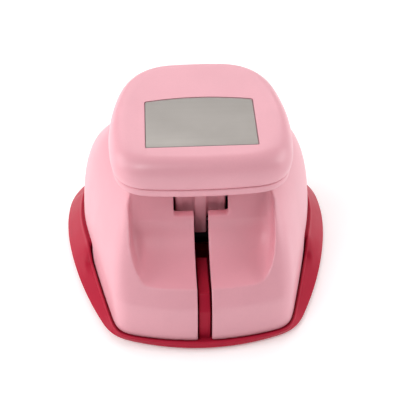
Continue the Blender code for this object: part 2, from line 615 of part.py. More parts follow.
# Punch -------------------------------------------------------------------------------------
def build_punch():
    middle = (0.0, PUNCH_Y, CARRIER_TOP)
    body = rounded_box(-8.2, 3.4, 8.2, 11.0, 1.0)
    carrier = make_object("punch_carrier", prism(body, 16.0, CARRIER_TOP), "zinc", middle)
    ears = prism(rounded_box(-17.5, 3.0, 17.5, 9.0, 2.0), EAR_BOTTOM, EAR_TOP)
    combine(carrier, make_object("carrier_ears", ears), "UNION")
    for side in (-1, 1):
        hole = turned([(POST_RADIUS + 0.15, 10.0), (POST_RADIUS + 0.15, 40.0)],
                      16, (side * POST_X, PUNCH_Y))
        combine(carrier, make_object("carrier_post_hole", hole))
    seat = x_cylinder(1.85, -20.0, 20.0, PUNCH_Y, CARRIER_TOP - 0.4)
    combine(carrier, make_object("roller_seat", seat))
    screw_hole = turned([(1.5, 10.0), (1.5, 21.5)], 16, (0.0, BLADE_SCREW_Y))
    combine(carrier, make_object("blade_screw_hole", screw_hole))
    blade = make_object("punch_blade", prism(punch_outline(0.0), BLADE_TIP, 16.0 - GAP), "steel", middle)
    hole = turned([(1.3, BLADE_TIP + 1.0), (1.3, 20.0)], 16, (0.0, BLADE_SCREW_Y))
    combine(blade, make_object("blade_hole", hole))
    sink = turned([(2.6, BLADE_TIP - 1.0), (2.6, BLADE_TIP + 1.9)], 16, (0.0, BLADE_SCREW_Y))
    combine(blade, make_object("blade_sink", sink))
    screw = turned([(2.3, BLADE_TIP + 0.4), (2.3, BLADE_TIP + 1.6), (1.1, BLADE_TIP + 1.6), (1.1, 21.0)],
                   16, (0.0, BLADE_SCREW_Y))
    make_object("blade_screw", screw, "steel", middle)
    roller = x_cylinder(1.5, -6.8, 6.8, PUNCH_Y, CARRIER_TOP - 0.4)
    bevelled(make_object("pusher_roller", roller, "steel", middle), 0.3, 1)


def coil(x, y, bottom, top, turns=4.5, radius=2.75, wire=0.38, sides=5, steps=12):
    """A compression spring: its wire runs up a helix between two flat ends."""
    rings = []
    total = int(turns * steps)
    span = top - bottom - 2.0 * wire
    for index in range(total + 1):
        angle = math.tau * index / steps
        height = bottom + wire + span * index / total
        out = Vector((math.cos(angle), math.sin(angle), 0.0))
        up = Vector((0.0, 0.0, 1.0))
        centre = Vector((x, y, height)) + out * radius
        rings.append([tuple(centre + (out * math.cos(a) + up * math.sin(a)) * wire)
                      for a in (math.tau * s / sides for s in range(sides))])
    return loft(rings)


def build_posts_and_springs():
    for side, name in ((-1, "left"), (1, "right")):
        x = side * POST_X
        foot = FENCE_BOTTOM + FENCE_THICKNESS + GAP / 2.0
        post = turned([(POST_RADIUS, foot), (POST_RADIUS, 26.6), (POST_RADIUS - 0.5, 27.2)],
                      16, (x, PUNCH_Y))
        make_object("guide_post_" + name, post, "steel")
        spring = coil(x, PUNCH_Y, GUIDE_TOP + 0.1, EAR_BOTTOM - 0.2)
        make_object("return_spring_" + name, spring, "steel")


def build_fasteners_and_feet():
    number = 0
    for side in (-1, 1):
        for x, y in HOUSING_SCREWS:
            number += 1
            screw = turned([(1.9, 1.2), (2.7, 1.5), (2.7, 2.6), (1.0, 2.65), (1.0, BOSS_SPLIT + 7.5)],
                           14, (side * x, y))
            made = make_object("housing_screw_%d" % number, screw, "steel")
            drive = block((side * x - 0.35, y - 1.6, 0.5), (side * x + 0.35, y + 1.6, 1.9))
            combine(made, make_object("screw_drive", drive))
    number = 0
    for side in (-1, 1):
        for x, y in FEET:
            number += 1
            foot = turned([(3.3, 0.0), (3.7, 0.3), (3.7, FOOT_DROP + 0.5)], 14, (side * x, y))
            make_object("rubber_foot_%d" % number, foot, "rubber")


clear_scene()
build_tray()
build_housing()
build_die_set()
build_pivot_frame()
build_lever()
build_punch()
build_posts_and_springs()
build_fasteners_and_feet()
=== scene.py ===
"""The look of the lever corner rounder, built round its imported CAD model.

Lengths inside the shape functions are millimetres and become metres where a mesh is made.
The front of the object is -Y, the paper goes in from +Y, and the table is Z = 0.
"""
import json
import math

import bmesh
import bpy
from mathutils import Matrix, Vector


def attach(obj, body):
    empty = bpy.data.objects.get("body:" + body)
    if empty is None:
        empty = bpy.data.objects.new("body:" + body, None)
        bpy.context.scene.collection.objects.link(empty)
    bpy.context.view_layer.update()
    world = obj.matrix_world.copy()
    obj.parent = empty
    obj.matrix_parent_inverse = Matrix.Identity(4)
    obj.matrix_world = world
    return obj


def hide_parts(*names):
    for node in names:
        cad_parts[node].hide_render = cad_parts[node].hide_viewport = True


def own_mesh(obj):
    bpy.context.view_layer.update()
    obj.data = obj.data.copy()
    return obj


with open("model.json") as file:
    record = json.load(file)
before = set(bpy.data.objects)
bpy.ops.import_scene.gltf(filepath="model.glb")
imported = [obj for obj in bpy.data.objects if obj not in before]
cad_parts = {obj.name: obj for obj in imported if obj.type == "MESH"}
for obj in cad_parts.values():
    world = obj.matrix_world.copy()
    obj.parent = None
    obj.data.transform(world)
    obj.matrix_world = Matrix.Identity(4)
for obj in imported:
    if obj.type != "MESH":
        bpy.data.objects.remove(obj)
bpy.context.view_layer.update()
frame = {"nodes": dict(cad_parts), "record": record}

MM = 0.001

# Sizes shared with the CAD model -------------------------------------------------------------
TRAY_FRONT, TRAY_REAR, TRAY_HALF_WIDTH = -42.4, 42.4, 41.2
FOOT_DROP, FLOOR_TOP = 0.6, 2.6
RIM_TOP, WING_TOP, TABLE_TOP = 3.5, 9.3, 7.2
HOUSING_HALF_WIDTH, HOUSING_FRONT, HOUSING_REAR, HOUSING_BOTTOM = 35.6, -41.0, 38.5, 3.0
DOME_HEIGHT, DOME_FLAT, DOME_CREST_Y, NOSE_TOP = 49.0, 46.4, 12.0, 15.0
SKIRT_Y, SKIRT_BOTTOM = -3.8, 9.8
WING_START, WING_FULL, TUCK_START = -4.5, 1.5, 0.5
MOUTH_HALF_WIDTH, MOUTH_Y, MOUTH_TOP = 27.0, 24.2, 12.1
WALL = 2.0
RECESS_HALF_WIDTH, RECESS_WALL_Y, RECESS_FLOOR = 21.0, -18.2, 20.3
RECESS_LEAN, RECESS_BOW, RECESS_BACK_Z = 0.48, 1.2, 44.0
RECESS_SIDE_SWEEP, RECESS_RUN, RECESS_RISE = 5.5, 17.5, 10.5
NOTCH_HALF_WIDTH, NOTCH_BOTTOM, NOTCH_REAR = 8.0, 32.3, 5.0
SLOT_HALF_WIDTH = 2.1
RAIL_FRONT, RAIL_REAR, RAIL_TOP, RAIL_HALF_WIDTH = -39.4, -20.6, 17.8, 1.7
TABLE_START = 26.0
PIVOT_Y, PIVOT_Z, BARREL_RADIUS, PIN_RADIUS = 23.5, 29.5, 3.6, 2.0
PUNCH_Y, POST_X = 6.0, 14.0
PAD_BOTTOM, PAD_THICKNESS, PAD_CENTRE_Y, PAD_TILT = 51.3, 12.0, -7.0, math.radians(3.0)
RIM_PLATE, SEAM, LABEL_POCKET, LABEL_MIDDLE = 3.0, 0.3, 0.6, -13.4
SPINE_FRONT, WEB_HALF_WIDTH = -13.8, 1.8
CHUTE = (-11.0, 2.0, 11.0, 18.0)
PEDESTAL = (-25.0, -0.5, 25.0, 31.0)
PEDESTAL_TOP, BOSS_TOP = 5.3, 6.7
HOUSING_SCREWS = ((19.5, -24.5), (29.0, 9.0))
FEET = ((19.0, -15.0), (28.0, 27.0))
CAP_SCREWS = ((-16.0, -10.0), (16.0, -10.0))
SPRING_BOTTOM, SPRING_TOP, PUNCH_STROKE = 11.3, 20.8, 3.5

# Fineness of the visual meshes ---------------------------------------------------------------
HOUSING_VOXEL, HOUSING_SMOOTHING = 0.36, 7     # cell of the remeshed moulding and its smoothing
LEVER_VOXEL, LEVER_SMOOTHING = 0.30, (2, 3)    # before and after the lever's holes are cut
OUTLINE_POINTS = 260


# Outlines ------------------------------------------------------------------------------------
def bowed_outline(corners, arc_steps=24, corner_steps=12):
    """A closed outline. A corner is (x, y, rounding, bow): bow is how far the side that leaves
    the corner swells outwards, and rounding is the length trimmed off each side of the corner."""
    count = len(corners)
    sides = []
    for index, (x, y, rounding, bow) in enumerate(corners):
        end = corners[(index + 1) % count]
        start, stop = Vector((x, y)), Vector(end[:2])
        run = stop - start
        outward = Vector((run.y, -run.x)).normalized() * bow
        first, last = rounding / run.length, 1.0 - end[2] / run.length
        side = []
        for step in range(arc_steps + 1):
            t = first + (last - first) * step / arc_steps
            side.append(start + run * t + outward * 4.0 * t * (1.0 - t))
        sides.append(side)
    outline = []
    for index, side in enumerate(sides):
        following = (index + 1) % count
        corner = Vector(corners[following][:2])
        outline.extend(side[:-1])
        if corners[following][2]:
            for step in range(corner_steps + 1):
                t = step / (corner_steps + 1)
                outline.append(side[-1] * (1 - t) ** 2 + corner * 2 * t * (1 - t)
                               + sides[following][0] * t * t)
    return [(point.x, point.y) for point in outline]


def mirrored(right_half, front_bow=0.0):
    """Corners of a shape symmetric about X = 0 from its right half, front to rear."""
    left_half = []
    for index in range(len(right_half) - 1, -1, -1):
        x, y, rounding, _ = right_half[index]
        bow = right_half[index - 1][3] if index else front_bow
        left_half.append((-x, y, rounding, bow))
    return list(right_half) + left_half


def relaxed(outline, rounds, count=OUTLINE_POINTS):
    """The outline with evenly spaced points, its kinks eased by `rounds` of averaging."""
    points = [Vector(point) for point in outline]
    lengths = [(b - a).length for a, b in zip(points, points[1:] + points[:1])]
    spacing = sum(lengths) / count
    even, index, passed = [], 0, 0.0
    for step in range(count):
        goal = step * spacing
        while passed + lengths[index] < goal:
            passed += lengths[index]
            index += 1
        following = points[(index + 1) % len(points)]
        even.append(points[index].lerp(following, (goal - passed) / lengths[index]))
    for _ in range(rounds):
        even = [(even[i - 1] + even[i] * 2.0 + even[(i + 1) % count]) / 4.0 for i in range(count)]
    return [(point.x, point.y) for point in even]


def rounded_box(low_x, low_y, high_x, high_y, rounding):
    corners = [(low_x, low_y), (high_x, low_y), (high_x, high_y), (low_x, high_y)]
    return bowed_outline([(x, y, rounding, 0.0) for x, y in corners], 2, 6)


def circle(radius, steps=48, centre=(0.0, 0.0)):
    return [(centre[0] + radius * math.cos(math.tau * i / steps),
             centre[1] + radius * math.sin(math.tau * i / steps)) for i in range(steps)]


HOUSING_PLAN = relaxed(bowed_outline(mirrored([
    (25.6, -36.4, 3.6, 0.4),
    (HOUSING_HALF_WIDTH + 0.9, 14.0, 10.5, 0.6),
    (31.0, 34.0, 9.5, 4.6),
], 4.6)), 6)

TRAY_PLAN = relaxed(bowed_outline(mirrored([
    (27.6, TRAY_FRONT + 6.4, 4.2, 2.3),
    (TRAY_HALF_WIDTH - 0.1, 12.0, 5.0, 0.4),
    (TRAY_HALF_WIDTH - 1.3, 27.6, 2.5, 0.3),
    (34.0, TRAY_REAR - 4.6, 4.0, 4.6),
], 6.4)), 5)

PAD_PLAN = relaxed(bowed_outline(mirrored([
    (24.2, -30.8, 7.5, 4.4),
    (18.4, 16.0, 9.8, 0.9),
], 1.7)), 14)

LABEL_PLAN = bowed_outline(mirrored([
    (15.9, -23.7, 0.5, 0.0),
    (15.6, -3.4, 0.5, 1.5),
]), 24, 4)


# Solids --------------------------------------------------------------------------------------
def loft(rings, into=None):
    """A closed solid through rings that have the same number of points."""
    solid = into or bmesh.new()
    loops = [[solid.verts.new(point) for point in ring] for ring in rings]
    for low, high in zip(loops, loops[1:]):
        for index, vertex in enumerate(low):
            after = (index + 1) % len(low)
            solid.faces.new((vertex, low[after], high[after], high[index]))
    solid.faces.new(loops[0][::-1])
    solid.faces.new(loops[-1])
    return solid


def prism(outline, bottom, top, into=None):
    return loft([[(x, y, z) for x, y in outline] for z in (bottom, top)], into)


def side_prism(profile, x_low, x_high, into=None):
    """A profile of (y, z) points, drawn out along X."""
    return loft([[(x, y, z) for y, z in profile] for x in (x_low, x_high)], into)


def turned(profile, centre=(0.0, 0.0), into=None, steps=48):
    """A solid turned about a vertical axis from (radius, z) pairs."""
    rings = [[(*point, z) for point in circle(radius, steps, centre)] for radius, z in profile]
    return loft(rings, into)


def x_cylinder(radius, half_length, y, z, into=None):
    return loft([[(x, y + a, z + b) for a, b in circle(radius)]
                 for x in (-half_length, half_length)], into)


def cast(name, solid):
    """An object made from a bmesh in millimetres."""
    bmesh.ops.recalc_face_normals(solid, faces=solid.faces)
    solid.transform(Matrix.Scale(MM, 4))
    mesh = bpy.data.meshes.new(name)
    solid.to_mesh(mesh)
    solid.free()
    made = bpy.data.objects.new(name, mesh)
    bpy.context.scene.collection.objects.link(made)
    return made


def cut(target, tool, operation="DIFFERENCE"):
    """Take the tool away from the target, or join it on with "UNION"."""
    step = target.modifiers.new(tool.name, "BOOLEAN")
    step.operation = operation
    step.object = tool
    step.use_self = operation == "UNION"


def remeshed(target, voxel, rounds):
    """Fuse everything in the mesh and soften its edges, as a moulding's are."""
    step = target.modifiers.new("fuse", "REMESH")
    step.mode = "VOXEL"
    step.voxel_size = voxel * MM
    soft = target.modifiers.new("soften", "SMOOTH")
    soft.factor, soft.iterations = 0.5, rounds


def applied(target, sharp_angle=180.0):
    """Make the modifiers' result the object's mesh and remove the tools they used."""
    tools = [step.object for step in target.modifiers if step.type == "BOOLEAN"]
    graph = bpy.context.evaluated_depsgraph_get()
    mesh = bpy.data.meshes.new_from_object(target.evaluated_get(graph))
    target.modifiers.clear()
    target.data = mesh
    mesh.shade_smooth()
    mesh.set_sharp_from_angle(angle=math.radians(sharp_angle))
    for tool in tools:
        bpy.data.objects.remove(tool, do_unlink=True)
    return target


def ease(value):
    value = min(1.0, max(0.0, value))
    return value * value * (3.0 - 2.0 * value)


# Housing -------------------------------------------------------------------------------------
NOSE_ROUND = 1.0       # softness of the edge between the front wall and the slope above it
CROWN_ROUND = 2.6      # rounding of the dome's upper edge


def dome_ring(height, inset):
    """The housing's outline at one height; `inset` gives the inner skin."""
    rise = min(1.0, max(0.0, height / DOME_HEIGHT))
    half_width = HOUSING_HALF_WIDTH * (1.0 - rise ** 3.4) ** (1.0 / 3.0)
    rear = DOME_CREST_Y + (HOUSING_REAR - DOME_CREST_Y) * (1.0 - rise ** 2.62)
    above = height - NOSE_TOP
    above = (above + math.hypot(above, NOSE_ROUND)) / 2.0
    climb = min(1.0, above / (DOME_HEIGHT - NOSE_TOP))
    front = HOUSING_FRONT + (DOME_CREST_Y - HOUSING_FRONT) * (0.43 * climb + 0.57 * climb ** 4.6)
    crown = min(1.0, max(0.0, (height - DOME_FLAT + CROWN_ROUND) / CROWN_ROUND))
    inset += CROWN_ROUND * (1.0 - math.sqrt(1.0 - crown * crown))
    x_scale = (half_width - inset) / HOUSING_HALF_WIDTH
    y_scale = (rear - front - 2.0 * inset) / (HOUSING_REAR - HOUSING_FRONT)
    return [(x * x_scale, front + inset + (y - HOUSING_FRONT) * y_scale) for x, y in HOUSING_PLAN]


def dome(inset, bottom):
    steps = 46
    heights = [bottom + (DOME_FLAT - bottom) * step / steps for step in range(steps)]
    heights += [DOME_FLAT - 0.3, DOME_FLAT - 0.1, DOME_FLAT]
    return loft([[(x, y, z - 0.6 * inset * ease((z - 20.0) / 15.0)) for x, y in dome_ring(z, inset)]
                 for z in heights])


def recess(grow):
    """The hollow under the pad: its floor sweeps up into the wall and the sides."""
    steps = 24
    levels = []
    for step in range(steps + 1):
        turn = math.pi / 2.0 * step / steps
        inset = 1.0 - math.sin(turn)
        levels.append((RECESS_FLOOR - grow + RECESS_RISE * (1.0 - math.cos(turn)),
                       RECESS_HALF_WIDTH + grow - RECESS_SIDE_SWEEP * inset,
                       RECESS_WALL_Y + grow - RECESS_RUN * inset))
    sweep_top = levels[-1][0]
    back = RECESS_WALL_Y + grow + RECESS_LEAN * (RECESS_BACK_Z - sweep_top)
    levels.append((RECESS_BACK_Z, RECESS_HALF_WIDTH + grow, back))
    levels.append((DOME_HEIGHT + 10.0, RECESS_HALF_WIDTH + grow, back))
    front = HOUSING_FRONT - 10.0
    rings = []
    for height, half, wall in levels:
        corners = [(-half, front, 0.0, 0.0), (half, front, 0.0, 0.0),
                   (half, wall, 4.0, -RECESS_BOW), (-half, wall, 4.0, 0.0)]
        rings.append([(x, y, height) for x, y in bowed_outline(corners)])
    return loft(rings)


def make_housing():
    """The domed shell with its hollow for the pad, the notch and slot, and the paper's mouth."""
    housing = cast("housing_shell", dome(0.0, HOUSING_BOTTOM))
    hollow = cast("hollow", dome(WALL, -2.0))
    cut(hollow, cast("backing", recess(WALL)))
    applied(hollow)
    cut(housing, hollow)
    cut(housing, cast("recess", recess(0.0)))
    notch = rounded_box(-NOTCH_HALF_WIDTH, RECESS_WALL_Y - 8.0, NOTCH_HALF_WIDTH, NOTCH_REAR, 0.8)
    cut(housing, cast("notch", prism(notch, NOTCH_BOTTOM, DOME_HEIGHT + 5.0)))
    slot = rounded_box(-SLOT_HALF_WIDTH, HOUSING_FRONT - 5.0, SLOT_HALF_WIDTH, RECESS_WALL_Y + 8.0, 0.2)
    cut(housing, cast("slot", prism(slot, -1.0, NOTCH_BOTTOM + 1.0)))
    skirt = rounded_box(-60.0, SKIRT_Y, 60.0, 60.0, 0.2)
    cut(housing, cast("skirt", prism(skirt, -5.0, SKIRT_BOTTOM)))
    mouth = rounded_box(-MOUTH_HALF_WIDTH, MOUTH_Y, MOUTH_HALF_WIDTH, 60.0, 0.2)
    cut(housing, cast("mouth", prism(mouth, -5.0, MOUTH_TOP)))
    remeshed(housing, HOUSING_VOXEL, HOUSING_SMOOTHING)
    return applied(housing)


# Tray ----------------------------------------------------------------------------------------
FOOT_EDGE = ((0.968, 0.0), (0.976, 0.06), (0.984, 0.25), (0.994, 0.6), (1.0, 1.1))   # scale, rise
FLANK_SHARES = (0.12, 0.25, 0.37, 0.5, 0.62, 0.74, 0.86)
RIM_LIP = ((1.3, 0.5), (1.24, 0.2), (1.1, 0.04), (0.95, 0.0), (0.7, 0.04), (0.6, 0.15))  # reach, drop
BOSS_RADII, SCREW_SINK, SCREW_HOLE = (3.4, 3.2), 2.9, 1.5


def wing_share(y):
    """0 in front of the wings, 1 along them."""
    return ease((y - SKIRT_Y - WING_START) / (WING_FULL - WING_START))


def tuck(y):
    """How far the tray reaches in under the raised part of the skirt."""
    return 2.0 * ease((y - SKIRT_Y - TUCK_START) / 1.0)


def tray_rim(y, wing=None):
    """Height of the tray's edge: low in front, raised wings at the sides, a table behind."""
    wing = wing_share(y) if wing is None else wing
    table = ease((y - TABLE_START) / 3.0)
    low = RIM_TOP + 1.3 * ease((y + 34.0) / 30.0)
    return low + wing * (WING_TOP - low) - table * (WING_TOP - TABLE_TOP)


def skirt_point(x, y, reach):
    """Where the line from the middle through (x, y) leaves the housing's outline, plus `reach`."""
    for (ax, ay), (bx, by) in zip(HOUSING_PLAN, HOUSING_PLAN[1:] + HOUSING_PLAN[:1]):
        spread = x * (by - ay) - y * (bx - ax)
        if not spread:
            continue
        along = (ax * (by - ay) - ay * (bx - ax)) / spread
        share = (ax * y - ay * x) / spread
        if along > 0.0 and -1e-9 <= share <= 1.0 + 1e-9:
            grown = along + reach / math.hypot(x, y)
            return x * grown, y * grown
    return x, y


def make_tray():
    """The tray with its winged edge, pedestal, slot rail, screw bosses and foot pockets."""
    rings = [[(x * scale, y * scale, FOOT_DROP + rise) for x, y in TRAY_PLAN]
             for scale, rise in FOOT_EDGE]
    foot = FOOT_DROP + FOOT_EDGE[-1][1]
    for share in FLANK_SHARES:
        ring = []
        for x, y in TRAY_PLAN:
            top_x, top_y = skirt_point(x, y, 1.3)
            slow_wing = ease((y - SKIRT_Y + 10.0) / 15.0)
            blend = ease((1.0 - share) / 0.5)
            rim = tray_rim(y, slow_wing * blend + wing_share(y) * (1.0 - blend))
            ring.append((x + (top_x - x) * share, y + (top_y - y) * share,
                         foot + (rim - 0.5 - foot) * share))
        rings.append(ring)
    for reach, drop in RIM_LIP:
        rings.append([(*skirt_point(x, y, reach), tray_rim(y) - drop) for x, y in TRAY_PLAN])
    rings.append([(*skirt_point(x, y, 0.5 - tuck(y)), tray_rim(y) - 0.3) for x, y in TRAY_PLAN])
    rings.append([(*skirt_point(x, y, 0.35 - 0.9 * tuck(y)), FLOOR_TOP) for x, y in TRAY_PLAN])
    tray = cast("tray_body", loft(rings))
    raised = prism(rounded_box(*PEDESTAL, 2.0), FLOOR_TOP - 1.0, PEDESTAL_TOP)
    cut(tray, cast("pedestal", raised), "UNION")
    sunk = FLOOR_TOP - 1.0
    rail = [(RAIL_FRONT, sunk), (RAIL_FRONT, RAIL_TOP - 4.8), (RAIL_FRONT + 2.9, RAIL_TOP),
            (RAIL_REAR, RAIL_TOP), (RAIL_REAR, sunk)]
    rail_body = cast("rail", side_prism(rail[::-1], -RAIL_HALF_WIDTH, RAIL_HALF_WIDTH))
    rounding = rail_body.modifiers.new("round", "BEVEL")
    rounding.width, rounding.segments = 0.4 * MM, 4
    applied(rail_body)
    cut(tray, rail_body, "UNION")
    holes = bmesh.new()
    prism(rounded_box(*CHUTE, 2.0), -1.0, PEDESTAL_TOP + 1.0, holes)
    for side in (-1, 1):
        for x, y in HOUSING_SCREWS:
            boss = turned([(BOSS_RADII[0], FLOOR_TOP - 1.0), (BOSS_RADII[1], BOSS_TOP)], (side * x, y))
            cut(tray, cast("boss", boss), "UNION")
            turned([(3.3, -1.0), (3.3, FOOT_DROP), (3.1, FOOT_DROP + 0.2), (3.1, SCREW_SINK),
                    (SCREW_HOLE, SCREW_SINK + 0.05), (SCREW_HOLE, 14.0)], (side * x, y), holes)
        for x, y in FEET:
            turned([(4.4, -1.0), (4.4, FOOT_DROP), (4.2, FOOT_DROP + 0.2), (4.2, FOOT_DROP + 0.8)],
                   (side * x, y), holes)
    cut(tray, cast("holes", holes))
    return applied(tray, 38.0)


# Lever ---------------------------------------------------------------------------------------
def tilted(points):
    """Lean a point set down towards the front about the pad's middle."""
    sine, cosine = math.sin(PAD_TILT), math.cos(PAD_TILT)
    leaned = []
    for x, y, z in points:
        along, up = y - PAD_CENTRE_Y, z - PAD_BOTTOM
        leaned.append((x, PAD_CENTRE_Y + along * cosine - up * sine,
                       PAD_BOTTOM + along * sine + up * cosine))
    return leaned


def pad_ring(inset, height):
    """The pad's outline drawn in by `inset`, at `height` above the pad's underside."""
    half_width, half_length = 25.0, 25.7
    return tilted([(x * (1.0 - inset / half_width),
                    PAD_CENTRE_Y + (y - PAD_CENTRE_Y) * (1.0 - inset / half_length),
                    PAD_BOTTOM + height) for x, y in PAD_PLAN])


def pad_disc(radius, place, low, high):
    return loft([tilted([(*point, PAD_BOTTOM + z) for point in circle(radius, 32, place)])
                 for z in (low, high)])


FLANGE_MIDDLE, FLANGE_HALF = 6.7, 0.8      # the two side flanges of the lever's upright
CROSS_HALF_WIDTH = 7.2                      # the cross wall and the sole between the flanges


def make_lever():
    """The pad's rim plate with the upright, the arm and the hinge barrel, in one moulding."""
    body = loft([pad_ring(1.6, 0.0), pad_ring(1.2, 0.1), pad_ring(0.8, 0.45), pad_ring(0.6, 1.0),
                 pad_ring(0.5, RIM_PLATE)])
    hub_bottom, hub_top = PIVOT_Z - BARREL_RADIUS + 0.1, PIVOT_Z + BARREL_RADIUS - 0.1
    flange = [(PIVOT_Y, hub_bottom), (20.0, 27.6), (13.0, 30.4), (-1.0, 30.4), (-7.0, 27.5),
              (SPINE_FRONT, 27.5), (SPINE_FRONT, 51.9), (2.5, 52.5), (3.0, 42.5), (15.0, 37.0),
              (PIVOT_Y, hub_top)]
    for middle in (-FLANGE_MIDDLE, FLANGE_MIDDLE):
        side_prism(flange, middle - FLANGE_HALF, middle + FLANGE_HALF, body)
    web_front = SPINE_FRONT - 0.7
    web = [(PIVOT_Y, PIVOT_Z - 1.5), (13.0, 31.0), (-1.0, 31.0), (-9.0, 22.0), (web_front, 22.0),
           (web_front, 51.9), (1.9, 52.4), (2.4, 42.5), (15.0, 36.9), (PIVOT_Y, PIVOT_Z + 3.0)]
    side_prism(web, -WEB_HALF_WIDTH, WEB_HALF_WIDTH, body)
    wall_front, wall_back = SPINE_FRONT + 0.5, SPINE_FRONT + 2.1
    side_prism([(wall_front, 28.3), (wall_back, 28.3), (wall_back, 52.0), (wall_front, 52.0)],
               -CROSS_HALF_WIDTH, CROSS_HALF_WIDTH, body)
    side_prism([(13.5, 30.4), (13.5, 32.4), (-1.5, 32.4), (-1.5, 30.4)],
               -CROSS_HALF_WIDTH, CROSS_HALF_WIDTH, body)
    x_cylinder(BARREL_RADIUS, 7.6, PIVOT_Y, PIVOT_Z, body)
    lever = cast("lever_moulding", body)
    remeshed(lever, LEVER_VOXEL, LEVER_SMOOTHING[0])
    applied(lever)
    cut(lever, cast("bore", x_cylinder(PIN_RADIUS + 0.15, 15.0, PIVOT_Y, PIVOT_Z)))
    for place in CAP_SCREWS:
        cut(lever, cast("sink", pad_disc(2.8, place, -1.0, 1.2)))
        cut(lever, cast("hole", pad_disc(1.5, place, 0.5, RIM_PLATE + 1.0)))
    remeshed(lever, LEVER_VOXEL, LEVER_SMOOTHING[1])
    return applied(lever)


def make_cap():
    """The pad's upper shell: a tucked-in foot, upright sides and a deep rounded shoulder."""
    foot, waist, shoulder = RIM_PLATE + SEAM, 6.0, 5.4
    rings = [pad_ring(0.75, foot), pad_ring(0.5, foot + 0.06), pad_ring(0.36, foot + 0.28)]
    for step in range(1, 7):
        share = step / 6.0
        rings.append(pad_ring(0.34 * (1.0 - share) ** 1.6, foot + 0.28 + (waist - foot - 0.28) * share))
    steps = 22
    for step in range(1, steps + 1):
        turn = math.pi / 2.0 * step / steps
        rings.append(pad_ring(shoulder * (1.0 - math.cos(turn) ** 0.92),
                              waist + (PAD_THICKNESS - waist) * math.sin(turn) ** 0.98))
    rings.append(pad_ring(shoulder + 1.2, PAD_THICKNESS))
    cap = cast("pad_shell", loft(rings))
    pocket = loft([tilted([(x, y, PAD_BOTTOM + z) for x, y in LABEL_PLAN])
                   for z in (PAD_THICKNESS - LABEL_POCKET, PAD_THICKNESS + 3.0)])
    cut(cap, cast("pocket", pocket))
    return applied(cap, 40.0)


def make_label():
    """The blank plate: a thin sheet with a rolled edge."""
    base, top, roll = PAD_THICKNESS - LABEL_POCKET + SEAM, PAD_THICKNESS - 0.06, 0.16
    rings = [(0.0, base)]
    for step in range(6):
        turn = math.pi / 2.0 * step / 5.0
        rings.append((roll * (1.0 - math.cos(turn)), top - roll * (1.0 - math.sin(turn))))
    half_width, half_length = 15.9, 10.9
    plate = loft([tilted([(x * (1.0 - (0.2 + inset) / half_width),
                           LABEL_MIDDLE + (y - LABEL_MIDDLE) * (1.0 - (0.2 + inset) / half_length),
                           PAD_BOTTOM + z) for x, y in LABEL_PLAN]) for inset, z in rings])
    return applied(cast("label_sheet", plate), 50.0)


# Springs -------------------------------------------------------------------------------------
def make_spring(name, x):
    """A compression spring whose end coils lie flat."""
    turns, radius, wire, sides, steps = 5.5, 2.75, 0.38, 12, 40
    total = int(turns * steps)
    span = SPRING_TOP - SPRING_BOTTOM - 2.0 * wire
    rings = []
    for index in range(total + 1):
        share = index / total
        angle = math.tau * index / steps
        height = SPRING_BOTTOM + wire + span * (share + math.sin(math.tau * share) * -0.07)
        out = Vector((math.cos(angle), math.sin(angle), 0.0))
        centre = Vector((x, PUNCH_Y, height)) + out * radius
        rings.append([tuple(centre + (out * math.cos(a) + Vector((0.0, 0.0, 1.0)) * math.sin(a)) * wire)
                      for a in (math.tau * side / sides for side in range(sides))])
    return applied(cast(name, loft(rings)), 60.0)


# Materials -----------------------------------------------------------------------------------
class Nodes:
    """Short spellings for the node steps that the finishes share."""

    def __init__(self, name):
        self.material = bpy.data.materials.new(name)
        self.material.use_nodes = True
        self.tree = self.material.node_tree
        self.shader = self.tree.nodes["Principled BSDF"]
        self.place = self.tree.nodes.new("ShaderNodeTexCoord").outputs["Object"]
        self.edges = self.tree.nodes.new("ShaderNodeNewGeometry").outputs["Pointiness"]

    def link(self, source, target):
        self.tree.links.new(source, target)

    def noise(self, scale, detail=3.0, stretch=None, offset=0.0):
        node = self.tree.nodes.new("ShaderNodeTexNoise")
        node.inputs["Scale"].default_value = scale
        node.inputs["Detail"].default_value = detail
        source = self.place
        shift = self.tree.nodes.new("ShaderNodeMapping")
        shift.inputs["Scale"].default_value = stretch or (1.0, 1.0, 1.0)
        shift.inputs["Location"].default_value = (offset, offset, offset)
        self.link(source, shift.inputs["Vector"])
        self.link(shift.outputs["Vector"], node.inputs["Vector"])
        return node.outputs["Fac"]

    def ranged(self, source, low, high, start=0.3, stop=0.7):
        node = self.tree.nodes.new("ShaderNodeMapRange")
        values = (start, stop, low, high)
        for key, value in zip(("From Min", "From Max", "To Min", "To Max"), values):
            node.inputs[key].default_value = value
        self.link(source, node.inputs["Value"])
        return node.outputs["Result"]

    def math(self, operation, left, right):
        node = self.tree.nodes.new("ShaderNodeMath")
        node.operation = operation
        for socket, value in zip(node.inputs, (left, right)):
            if isinstance(value, (int, float)):
                socket.default_value = value
            else:
                self.link(value, socket)
        return node.outputs["Value"]

    def mix(self, share, first, second):
        node = self.tree.nodes.new("ShaderNodeMix")
        node.data_type = "RGBA"
        self.link(share, node.inputs["Factor"])
        for socket, value in ((node.inputs[6], first), (node.inputs[7], second)):
            if isinstance(value, tuple):
                socket.default_value = (*value, 1.0)
            else:
                self.link(value, socket)
        return node.outputs[2]

    def bump(self, height, strength, distance):
        node = self.tree.nodes.new("ShaderNodeBump")
        node.inputs["Strength"].default_value = strength
        node.inputs["Distance"].default_value = distance
        self.link(height, node.inputs["Height"])
        self.link(node.outputs["Normal"], self.shader.inputs["Normal"])


def scaled(colour, factor):
    return tuple(min(1.0, channel * factor) for channel in colour)


